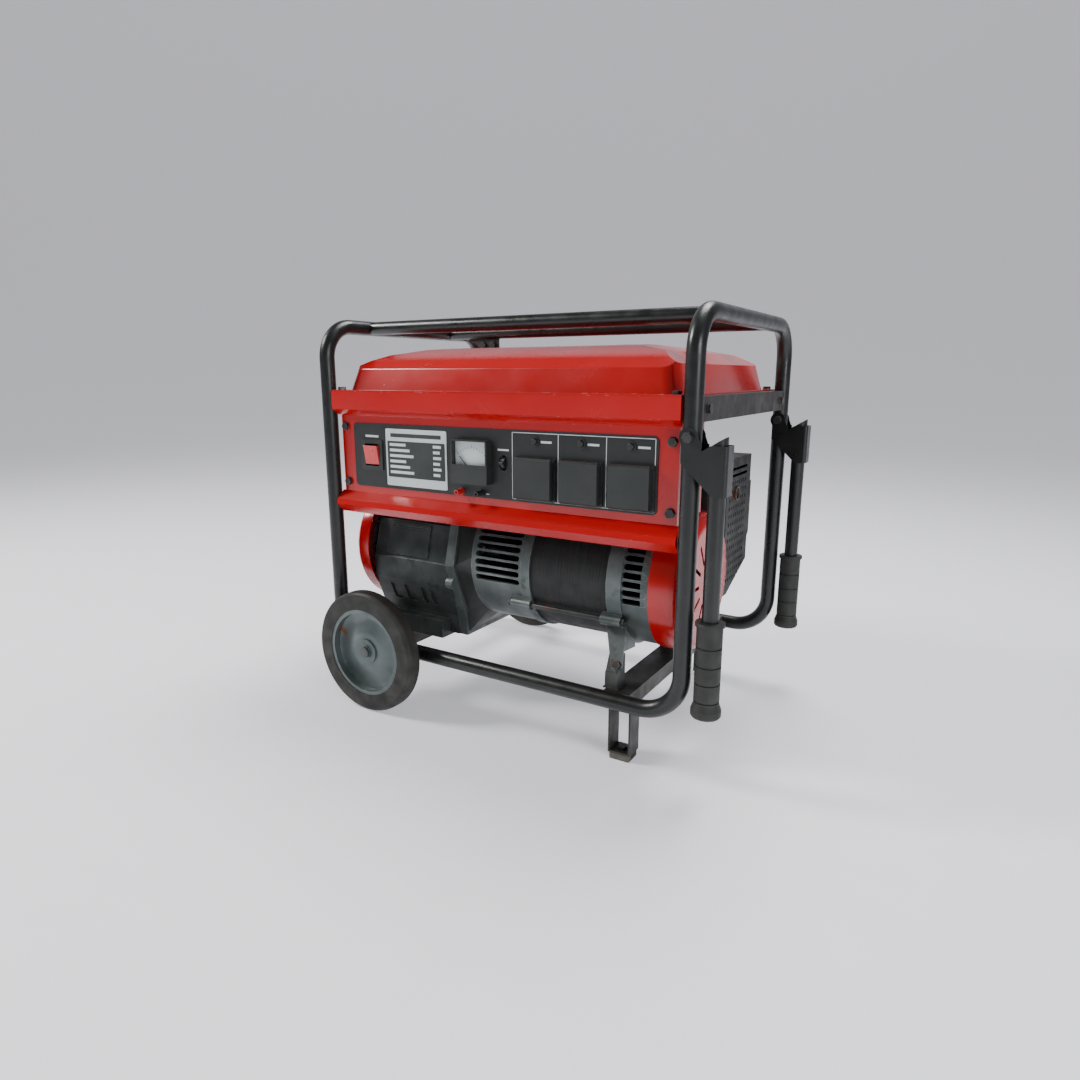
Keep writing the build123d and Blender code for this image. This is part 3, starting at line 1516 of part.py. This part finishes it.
with BuildPart() as hex_bolts:
    for seat in bolt_seats:
        with BuildSketch(seat):
            Circle(bolt_r)
        extrude(amount=-bolt_reach)
        with BuildSketch(seat):
            Circle(hex_across / 2 + 1.2)
        extrude(amount=1.3)
        with BuildSketch(seat.offset(1.3)):
            RegularPolygon(hex_across / 2, 6, major_radius=False)
        extrude(amount=hex_head - 1.3)
keep(hex_bolts, "hex_bolts")
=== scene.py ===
import json
from math import radians

import bpy
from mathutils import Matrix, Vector

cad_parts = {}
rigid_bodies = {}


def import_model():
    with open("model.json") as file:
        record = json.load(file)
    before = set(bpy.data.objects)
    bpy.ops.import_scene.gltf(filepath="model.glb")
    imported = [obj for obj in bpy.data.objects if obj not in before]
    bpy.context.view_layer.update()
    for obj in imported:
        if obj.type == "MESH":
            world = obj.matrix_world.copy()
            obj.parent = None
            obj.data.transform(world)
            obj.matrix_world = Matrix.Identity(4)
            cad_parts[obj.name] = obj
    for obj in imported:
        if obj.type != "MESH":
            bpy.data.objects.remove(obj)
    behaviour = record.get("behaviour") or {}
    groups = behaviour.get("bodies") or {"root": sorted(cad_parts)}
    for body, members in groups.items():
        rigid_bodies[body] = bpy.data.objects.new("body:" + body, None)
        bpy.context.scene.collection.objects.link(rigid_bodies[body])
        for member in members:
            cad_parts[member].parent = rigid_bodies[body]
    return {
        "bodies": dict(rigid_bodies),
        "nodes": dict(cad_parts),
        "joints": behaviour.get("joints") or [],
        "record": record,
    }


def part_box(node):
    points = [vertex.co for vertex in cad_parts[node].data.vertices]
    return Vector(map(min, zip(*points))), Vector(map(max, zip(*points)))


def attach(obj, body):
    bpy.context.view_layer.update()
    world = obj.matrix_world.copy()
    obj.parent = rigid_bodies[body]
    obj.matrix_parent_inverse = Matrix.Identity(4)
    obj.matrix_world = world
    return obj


# %% [markdown]
# The set is an engine and an alternator in an open tube frame. The frame, castings and panel come
# from the CAD model, already at their true size and place. This script gives each surface its paint,
# rubber or worn metal, and adds the thin printed and pressed details of the control panel.
# The units are metres, +X runs from the wheels to the carrying handles, and +Z is up.

# %% load the model
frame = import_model()
bodies = frame["bodies"]
nodes = frame["nodes"]
child_bodies = {joint["child"] for joint in frame["joints"]}
root = next(name for name in bodies if name not in child_bodies)
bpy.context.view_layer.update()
print("loaded", len(nodes), "nodes; the still body is", root)

# %% [markdown]
# One recipe makes every finish. A broad noise drifts the colour between two shades, a fine noise
# gives the bump, and a third changes the roughness, because real paint and rubber are never even.
# Wear needs to know where an edge is. A Bevel node gives the normal that a rounded edge would have,
# and where it turns away from the true normal there is an edge, so bare metal is shown there.
# Dust is laid by height, since a set that stands on the ground is dustiest near it.


# %% the recipe for a finish
dust_colour = (0.21, 0.20, 0.155)
dust_starts, dust_full = 0.30, 0.02  # heights above the ground
chips_per_metre = 90.0
stains_per_metre = 22.0
clouds_per_metre = 30.0
bump_depth = 0.0006


def node(tree, kind, **settings):
    made = tree.nodes.new(kind)
    for key, value in settings.items():
        setattr(made, key, value)
    return made


def noise(tree, coords, scale, detail=4.0, stretch=None):
    made = node(tree, "ShaderNodeTexNoise")
    made.inputs["Scale"].default_value = scale
    made.inputs["Detail"].default_value = detail
    source = coords.outputs["Object"]
    if stretch:
        turned = node(tree, "ShaderNodeMapping")
        turned.inputs["Scale"].default_value = stretch
        tree.links.new(source, turned.inputs["Vector"])
        source = turned.outputs["Vector"]
    tree.links.new(source, made.inputs["Vector"])
    return made.outputs["Fac"]


def ramp(tree, value, low, high, out_low=0.0, out_high=1.0):
    made = node(tree, "ShaderNodeMapRange", clamp=True)
    made.inputs["From Min"].default_value = low
    made.inputs["From Max"].default_value = high
    made.inputs["To Min"].default_value = out_low
    made.inputs["To Max"].default_value = out_high
    tree.links.new(value, made.inputs["Value"])
    return made.outputs["Result"]


def product(tree, first, second):
    made = node(tree, "ShaderNodeMath", operation="MULTIPLY", use_clamp=True)
    tree.links.new(first, made.inputs[0])
    tree.links.new(second, made.inputs[1])
    return made.outputs["Value"]


def blend(tree, factor, first, second):
    made = node(tree, "ShaderNodeMix", data_type="RGBA")
    tree.links.new(factor, made.inputs["Factor"])
    for socket, value in ((made.inputs["A"], first), (made.inputs["B"], second)):
        if isinstance(value, tuple):
            socket.default_value = (*value, 1.0)
        else:
            tree.links.new(value, socket)
    return made.outputs["Result"]


def edges(tree, coords, radius, amount):
    rounded = node(tree, "ShaderNodeBevel", samples=6)
    rounded.inputs["Radius"].default_value = radius
    true = node(tree, "ShaderNodeNewGeometry")
    turn = node(tree, "ShaderNodeVectorMath", operation="DOT_PRODUCT")
    tree.links.new(rounded.outputs["Normal"], turn.inputs[0])
    tree.links.new(true.outputs["Normal"], turn.inputs[1])
    sharp = ramp(tree, turn.outputs["Value"], 0.985, 0.86)
    broken = ramp(tree, noise(tree, coords, chips_per_metre), 0.62 - 0.3 * amount, 0.72)
    return product(tree, sharp, broken)


def finish(name, base, drift, rough, metallic=0.0, scale=14.0, grain=600.0, bump=0.08, wear=None,
           worn=0.5, radius=0.0012, dust=0.0, stain=None, stained=0.62, coat=0.0, stretch=None):
    made = bpy.data.materials.new(name)
    made.use_nodes = True
    tree = made.node_tree
    shader = tree.nodes["Principled BSDF"]
    coords = node(tree, "ShaderNodeTexCoord")
    colour = blend(tree, ramp(tree, noise(tree, coords, scale, 6.0, stretch), 0.35, 0.65), base, drift)
    if stain:
        patches = ramp(tree, noise(tree, coords, stains_per_metre, 8.0), stained, stained + 0.1)
        colour = blend(tree, patches, colour, stain)
    if dust:
        place = node(tree, "ShaderNodeSeparateXYZ")
        tree.links.new(coords.outputs["Object"], place.inputs["Vector"])
        low = ramp(tree, place.outputs["Z"], dust_starts, dust_full, 0.1 * dust, dust)
        cloud = ramp(tree, noise(tree, coords, clouds_per_metre, 8.0), 0.38, 0.66)
        colour = blend(tree, product(tree, low, cloud), colour, dust_colour)
    if wear:
        edge = edges(tree, coords, radius, worn)
        colour = blend(tree, edge, colour, wear)
    tree.links.new(colour, shader.inputs["Base Color"])
    shader.inputs["Metallic"].default_value = metallic
    shader.inputs["Coat Weight"].default_value = coat
    shader.inputs["Coat Roughness"].default_value = 0.08
    gloss = ramp(tree, noise(tree, coords, 3.0 * scale, 5.0), 0.3, 0.7, rough[0], rough[1])
    tree.links.new(gloss, shader.inputs["Roughness"])
    relief = node(tree, "ShaderNodeBump")
    relief.inputs["Strength"].default_value = bump
    relief.inputs["Distance"].default_value = bump_depth
    tree.links.new(noise(tree, coords, grain, 3.0), relief.inputs["Height"])
    tree.links.new(relief.outputs["Normal"], shader.inputs["Normal"])
    return made


# %% [markdown]
# The finishes follow how each part is really made. The frame is powder coated, the tank and covers
# are sprayed gloss red, and the castings are tumbled aluminium that has gone grey and mottled. Their
# edges are knocked bright. The laminations of the stator are bare iron, so they are dark and matt.

# %% make the finishes
rust = (0.17, 0.055, 0.018)
bare = (0.42, 0.44, 0.43)
looks = {
    "frame_paint": finish("frame_paint", (0.005, 0.0065, 0.006), (0.009, 0.011, 0.0105), (0.24, 0.42),
                          wear=(0.06, 0.065, 0.06), worn=0.3, dust=0.04),
    "bracket_paint": finish("bracket_paint", (0.009, 0.0088, 0.0085), (0.018, 0.016, 0.014), (0.38, 0.62),
                            wear=(0.09, 0.085, 0.08), dust=0.1, stain=(0.06, 0.032, 0.02), stained=0.66),
    "bolt_steel": finish("bolt_steel", (0.035, 0.036, 0.036), (0.08, 0.08, 0.078), (0.3, 0.52), metallic=0.7,
                         wear=bare, stain=rust, stained=0.60),
    "red_paint": finish("red_paint", (0.47, 0.0012, 0.0016), (0.43, 0.0010, 0.0014), (0.18, 0.28), scale=5.0,
                        grain=240.0, bump=0.025, wear=(0.75, 0.30, 0.27), worn=0.1, coat=0.3),
    "tyre_rubber": finish("tyre_rubber", (0.007, 0.007, 0.0065), (0.013, 0.013, 0.011), (0.55, 0.8),
                          grain=900.0, bump=0.25, dust=0.16),
    "grip_rubber": finish("grip_rubber", (0.014, 0.0155, 0.0135), (0.022, 0.024, 0.020), (0.5, 0.74),
                          grain=1200.0, bump=0.3, dust=0.05),
    "foot_rubber": finish("foot_rubber", (0.012, 0.012, 0.012), (0.022, 0.021, 0.02), (0.6, 0.8), dust=0.6,
                          grain=900.0, bump=0.25),
    "mount_rubber": finish("mount_rubber", (0.02, 0.024, 0.024), (0.05, 0.058, 0.058), (0.5, 0.75),
                           dust=0.35, bump=0.2),
    "wheel_steel": finish("wheel_steel", (0.075, 0.10, 0.10), (0.125, 0.15, 0.148), (0.3, 0.52), metallic=0.6,
                          wear=bare, dust=0.1, stain=rust, stained=0.64),
    "shaft_steel": finish("shaft_steel", (0.35, 0.35, 0.34), (0.5, 0.5, 0.49), (0.22, 0.4), metallic=1.0,
                          stain=rust, stained=0.68),
    "engine_casting": finish("engine_casting", (0.032, 0.038, 0.037), (0.07, 0.08, 0.078), (0.36, 0.6),
                             metallic=0.6, grain=420.0, bump=0.35, dust=0.1,
                             wear=(0.30, 0.32, 0.31), worn=0.7,
                             stain=(0.03, 0.03, 0.026), stained=0.6),
    "bell_casting": finish("bell_casting", (0.075, 0.09, 0.088), (0.15, 0.172, 0.168), (0.34, 0.56),
                           metallic=0.7, grain=420.0, bump=0.35, wear=(0.5, 0.54, 0.53), worn=0.9,
                           dust=0.08, stain=(0.06, 0.065, 0.06), stained=0.6),
    "housing_black": finish("housing_black", (0.009, 0.011, 0.0105), (0.018, 0.021, 0.02), (0.3, 0.52),
                            wear=(0.08, 0.09, 0.085), dust=0.1, bump=0.2),
    "winding_core": finish("winding_core", (0.008, 0.0085, 0.0085), (0.02, 0.0215, 0.021), (0.42, 0.66),
                           metallic=0.3, wear=(0.12, 0.12, 0.11), grain=300.0, bump=0.5,
                           stretch=(60.0, 1.0, 1.0), stain=(0.07, 0.03, 0.015), stained=0.66),
    "panel_black": finish("panel_black", (0.009, 0.011, 0.011), (0.014, 0.017, 0.017), (0.34, 0.5),
                          grain=1500.0, bump=0.12, wear=(0.05, 0.055, 0.055), dust=0.1),
    "device_black": finish("device_black", (0.014, 0.017, 0.016), (0.024, 0.028, 0.026), (0.3, 0.48),
                           grain=1500.0, bump=0.15, wear=(0.09, 0.10, 0.095), worn=0.5, radius=0.0008),
    "rocker_red": finish("rocker_red", (0.60, 0.016, 0.014), (0.50, 0.012, 0.012), (0.2, 0.36),
                         wear=(0.75, 0.2, 0.18), worn=0.3, bump=0.03, coat=0.4),
    "post_plastic": finish("post_plastic", (0.45, 0.012, 0.012), (0.38, 0.01, 0.01), (0.22, 0.38), bump=0.04,
                           wear=(0.6, 0.2, 0.18), worn=0.3),
    "needle_black": finish("needle_black", (0.012, 0.012, 0.012), (0.02, 0.02, 0.02), (0.4, 0.55)),
    "filter_plastic": finish("filter_plastic", (0.014, 0.015, 0.015), (0.024, 0.025, 0.024), (0.42, 0.62),
                             grain=900.0, bump=0.2, wear=(0.08, 0.085, 0.08), dust=0.2),
    "muffler_steel": finish("muffler_steel", (0.16, 0.145, 0.13), (0.27, 0.235, 0.19), (0.34, 0.6),
                            metallic=0.8, wear=bare, stain=rust, stained=0.58),
    "guard_black": finish("guard_black", (0.012, 0.013, 0.013), (0.024, 0.024, 0.023), (0.36, 0.58),
                          wear=(0.10, 0.10, 0.10), dust=0.2),
}
print("finishes:", len(looks))

# %% [markdown]
# The two terminal posts are one node, yet one is red and the other black so that a lead is not put on
# the wrong way round. The split is made in the finish, by which side of their middle a point lies on.

# %% colour one post black
posts_low, posts_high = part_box("terminal_posts")
post_tree = looks["post_plastic"].node_tree
post_shader = post_tree.nodes["Principled BSDF"]
post_colour = post_shader.inputs["Base Color"].links[0].from_socket
post_coords = node(post_tree, "ShaderNodeTexCoord")
post_place = node(post_tree, "ShaderNodeSeparateXYZ")
post_tree.links.new(post_coords.outputs["Object"], post_place.inputs["Vector"])
colour_edge = 0.0005
middle = (posts_low.x + posts_high.x) / 2
right_side = ramp(post_tree, post_place.outputs["X"], middle, middle + colour_edge)
post_tree.links.new(blend(post_tree, right_side, post_colour, (0.012, 0.013, 0.013)),
                    post_shader.inputs["Base Color"])

# %% [markdown]
# Each node takes the finish of its material slot. The axle is the exception: the end that shows in the
# wheel's hub is a painted cap, so the axle is painted like the wheel and not left as ground steel.

# %% paint the nodes
slots = {part["node"]: part["material_slot"] for part in frame["record"]["subparts"]}
for name, piece in nodes.items():
    piece.data.materials.clear()
    piece.data.materials.append(looks[slots[name]])
hub_paint = finish("hub_paint", (0.06, 0.08, 0.08), (0.10, 0.12, 0.118), (0.34, 0.56), metallic=0.5,
                   wear=bare, stain=rust, stained=0.6)
nodes["axle"].data.materials[0] = hub_paint
print("painted", len(nodes), "nodes")

# %% [markdown]
# Printed plates and labels are thin sheets. Each starts as a box of the right size, its corners are
# rounded in edit mode with a bevel, and its outer face is inset a little, so that light catches a rim.
# The place is baked into the mesh because the finishes read the object's own coordinates.


# %% a way to make a thin plate on the panel
facing = 0.9  # how nearly a normal must look along -Y on the outer face


def plate(name, left, right, low, high, back, thick, look, body=root, corner=0.0):
    bpy.ops.object.select_all(action="DESELECT")
    bpy.ops.mesh.primitive_cube_add(size=1, location=((left + right) / 2, back - thick / 2, (low + high) / 2))
    piece = bpy.context.object
    piece.name = name
    piece.scale = (right - left, thick, high - low)
    bpy.ops.object.transform_apply(location=True, rotation=True, scale=True)
    bpy.ops.object.mode_set(mode="EDIT")
    bpy.ops.mesh.select_mode(type="EDGE")
    bpy.ops.mesh.select_all(action="DESELECT")
    bpy.ops.object.mode_set(mode="OBJECT")
    points = piece.data.vertices
    for edge in piece.data.edges:
        start, end = (points[i].co for i in edge.vertices)
        edge.select = abs(start.y - end.y) > thick / 2
    bpy.ops.object.mode_set(mode="EDIT")
    if corner:
        bpy.ops.mesh.bevel(offset=corner, segments=5)
    bpy.ops.mesh.select_mode(type="FACE")
    bpy.ops.mesh.select_all(action="DESELECT")
    bpy.ops.object.mode_set(mode="OBJECT")
    for face in piece.data.polygons:
        face.select = face.normal.y < -facing
    bpy.ops.object.mode_set(mode="EDIT")
    bpy.ops.mesh.bevel(offset=thick * 0.3, segments=2)
    bpy.ops.object.mode_set(mode="OBJECT")
    piece.data.materials.append(look)
    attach(piece, body)
    return piece


# %% finishes for the printed details
print_white = finish("print_white", (0.62, 0.66, 0.66), (0.52, 0.56, 0.56), (0.4, 0.6), bump=0.05,
                     stain=(0.3, 0.31, 0.29), stained=0.66)
print_dark = finish("print_dark", (0.02, 0.024, 0.024), (0.035, 0.04, 0.04), (0.4, 0.6), bump=0.05)
plate_pale = finish("plate_pale", (0.55, 0.61, 0.61), (0.64, 0.69, 0.69), (0.3, 0.5), metallic=0.2, bump=0.08,
                    wear=(0.75, 0.78, 0.78), stain=(0.36, 0.38, 0.36), stained=0.64)

# %% [markdown]
# The panel face carries a pale data plate, a white line round the outlets and a short label by each
# control. The wording of a real plate isn't needed, so plain bars stand for it. Every place below is
# worked out from the panel and the devices it serves, so the print stays with them.

# %% data plate
mm = 0.001
skin = 0.4 * mm
bezel = 2.5 * mm  # how far the switch's rim stands off the panel
plate_thick = 0.8 * mm
panel_low, panel_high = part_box("panel_plate")
switch_low, switch_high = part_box("switch_rocker")
meter_low, meter_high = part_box("voltmeter")
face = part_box("switch_bodies")[0].y + bezel
plate_left, plate_right = switch_high.x + 18 * mm, meter_low.x - 20 * mm
plate_low, plate_high = panel_low.z + 6 * mm, panel_high.z - 8 * mm
plate("data_plate", plate_left, plate_right, plate_low, plate_high, face, plate_thick, plate_pale,
      corner=3 * mm)
top_line = face - plate_thick
head_left, head_right = plate_left + 12 * mm, plate_right - 12 * mm
plate("data_heading", head_left, head_right, plate_high - 15 * mm, plate_high - 8 * mm, top_line, skin,
      print_dark, corner=1 * mm)
block_left, block_right = plate_left + 4 * mm, plate_right - 4 * mm
block_low, block_high = plate_low + 16 * mm, plate_high - 22 * mm
plate("data_block", block_left, block_right, block_low, block_high, top_line, skin, print_dark, corner=2 * mm)
rows = 6
row_high = (block_high - block_low - 6 * mm) / rows
for row in range(rows):
    top = block_high - 4 * mm - row * row_high
    low = top - 0.5 * row_high
    name_end = plate_left + (48 + 9 * (row % 3)) * mm
    value_end = plate_right - (12 + 3 * (row % 2)) * mm
    words = (("name", plate_left + 10 * mm, name_end), ("value", plate_right - 30 * mm, value_end))
    for word, start, end in words:
        plate(f"data_{word}_{row}", start, end, low, top, top_line - skin, skin, print_white)
print("data plate", round(plate_right - plate_left, 3), "m long")


# %% white line round the outlets, with dividers
def printed(name, left, right, low, high):
    plate(name, left, right, low, high, face, skin, print_white)


lids = [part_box(f"outlet_lid_{n}") for n in (1, 2, 3)]
line = 1.2 * mm
lines_left, lines_right = lids[0][0].x - 12 * mm, lids[2][1].x + 4 * mm
lines_low, lines_high = lids[0][0].z - 4 * mm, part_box("reset_button_1")[1].z + 7 * mm
printed("outlet_line_low", lines_left, lines_right, lines_low, lines_low + line)
printed("outlet_line_high", lines_left, lines_right, lines_high - line, lines_high)
gaps = [(lids[n][1].x + lids[n + 1][0].x) / 2 for n in (0, 1)]
for count, x in enumerate([lines_left + line / 2, *gaps, lines_right - line / 2]):
    printed(f"outlet_line_side_{count}", x - line / 2, x + line / 2, lines_low, lines_high)

# %% short labels by the controls
for n in (1, 2, 3):
    button_low, button_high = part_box(f"reset_button_{n}")
    start = button_high.x + 5 * mm
    printed(f"label_outlet_{n}", start, start + 20 * mm, button_low.z + 4 * mm, button_low.z + 7.5 * mm)
breaker_low, breaker_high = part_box("breaker_lever")
middle = (breaker_low.x + breaker_high.x) / 2
printed("label_breaker", middle - 11 * mm, middle + 11 * mm, breaker_high.z + 9 * mm, breaker_high.z + 12 * mm)
middle = (switch_low.x + switch_high.x) / 2
printed("label_switch", middle - 16 * mm, middle + 16 * mm, switch_high.z + 15 * mm, switch_high.z + 19 * mm)
for side, x in (("left", posts_low.x - 7 * mm), ("right", posts_high.x + 7 * mm)):
    printed(f"label_post_{side}", x - 3 * mm, x + 3 * mm, posts_low.z + 5.4 * mm, posts_low.z + 7 * mm)
print("labels placed")

# %% [markdown]
# A meter reads by a pale card behind its pointer. The scale is an arc of short marks about the
# pointer's pin, over the same quarter turn that the pointer can make, so the marks and it agree.

# %% dial card and marks
needle = next(joint for joint in frame["joints"] if joint["child"] == "needle")
pin_x, pin_z = needle["pos_m"][0], needle["pos_m"][2]
card_back = meter_low.y + 10 * mm
card_front = card_back - skin
plate("dial_card", meter_low.x + 3.6 * mm, meter_high.x - 3.6 * mm, pin_z + 9 * mm, meter_high.z - 3.1 * mm,
      card_back, skin, plate_pale)
dial_r = 37 * mm
marks = 11
mark_half = 0.35 * mm
for mark in range(marks):
    swing = radians(45 - 90 * mark / (marks - 1))
    length = 6 * mm if mark % 5 == 0 else 3.5 * mm
    foot = pin_z + dial_r
    piece = plate(f"dial_mark_{mark}", pin_x - mark_half, pin_x + mark_half, foot, foot + length, card_front,
                  0.2 * mm, print_dark)
    bpy.ops.object.mode_set(mode="EDIT")
    bpy.ops.mesh.select_all(action="SELECT")
    bpy.ops.transform.rotate(value=swing, orient_axis="Y", center_override=(pin_x, card_front, pin_z))
    bpy.ops.object.mode_set(mode="OBJECT")
    if mark == 0:
        print("first mark is", round(1000 * (piece.data.vertices[0].co.x - pin_x), 1), "mm right of the pin")
print("dial marks:", marks)

# %% [markdown]
# The set stands on a plain pale floor that curves up behind it, so that no horizon shows from the main
# camera, though one does from behind. The curve is made as a sheet of card is bent: the far edge is
# extruded up and the crease is bevelled wide. The floor gives a little light of its own, so it reads
# pale though the room is dim. Soft lights keep the reflections broad, as in a studio, and the camera
# stands to the front right, a little above the tank.

# %% floor, lights and camera
bpy.ops.object.select_all(action="DESELECT")
eye_turn = 31.67  # degrees about Z; the backdrop is square to the camera
floor_long = 40
far_edge = floor_long / 2 - 1
bpy.ops.mesh.primitive_plane_add(size=floor_long, location=(0, 0, 0))
floor = bpy.context.object
floor.name = "floor"
bpy.ops.object.mode_set(mode="EDIT")
bpy.ops.mesh.select_mode(type="EDGE")
bpy.ops.mesh.select_all(action="DESELECT")
bpy.ops.object.mode_set(mode="OBJECT")
for edge in floor.data.edges:
    edge.select = all(floor.data.vertices[i].co.y > far_edge for i in edge.vertices)
bpy.ops.object.mode_set(mode="EDIT")
bpy.ops.mesh.extrude_region_move(TRANSFORM_OT_translate={"value": (0, 0, 18)})
bpy.ops.mesh.select_all(action="DESELECT")
bpy.ops.object.mode_set(mode="OBJECT")
for edge in floor.data.edges:
    ends = [floor.data.vertices[i].co for i in edge.vertices]
    edge.select = all(end.y > far_edge and end.z < 1 for end in ends)
bpy.ops.object.mode_set(mode="EDIT")
bpy.ops.mesh.bevel(offset=12, segments=24)
bpy.ops.object.mode_set(mode="OBJECT")
bpy.ops.object.shade_smooth()
floor.rotation_euler.z = radians(eye_turn)
bpy.ops.object.transform_apply(location=False, rotation=True, scale=False)
floor_pale = finish("floor_pale", (0.80, 0.80, 0.84), (0.82, 0.82, 0.86), (0.6, 0.7), bump=0.02)
floor_pale.node_tree.nodes["Principled BSDF"].inputs["Emission Color"].default_value = (0.84, 0.84, 0.90, 1)
floor_pale.node_tree.nodes["Principled BSDF"].inputs["Emission Strength"].default_value = 0.42
floor.data.materials.append(floor_pale)


def lamp(name, place, aim, breadth, power, tint):
    bpy.ops.object.light_add(type="AREA", location=place)
    made = bpy.context.object
    made.name = name
    made.data.shape = "DISK"
    made.data.size = breadth
    made.data.energy = power
    made.data.color = tint
    direction = made.location - aim
    made.rotation_euler = direction.to_track_quat("Z", "Y").to_euler()


aim = Vector((0, 0, 0.35))
lamp("key", (-2.7, -1.5, 2.6), aim, 1.0, 120, (1.0, 0.99, 0.97))
lamp("fill", (2.8, -1.6, 1.3), aim, 1.4, 45, (0.95, 0.97, 1.0))
lamp("top", (0.3, 1.0, 3.0), aim, 1.6, 95, (1.0, 1.0, 1.0))
world = bpy.data.worlds.new("studio")
bpy.context.scene.world = world
world.use_nodes = True
world.node_tree.nodes["Background"].inputs["Color"].default_value = (0.80, 0.80, 0.84, 1)
world.node_tree.nodes["Background"].inputs["Strength"].default_value = 0.24

eye = (0.7055, -1.2496, 0.6312)
bpy.ops.object.camera_add(location=eye, rotation=(radians(77.39), 0, radians(eye_turn)))
camera = bpy.context.object
camera.data.lens = 24.6
bpy.context.scene.camera = camera
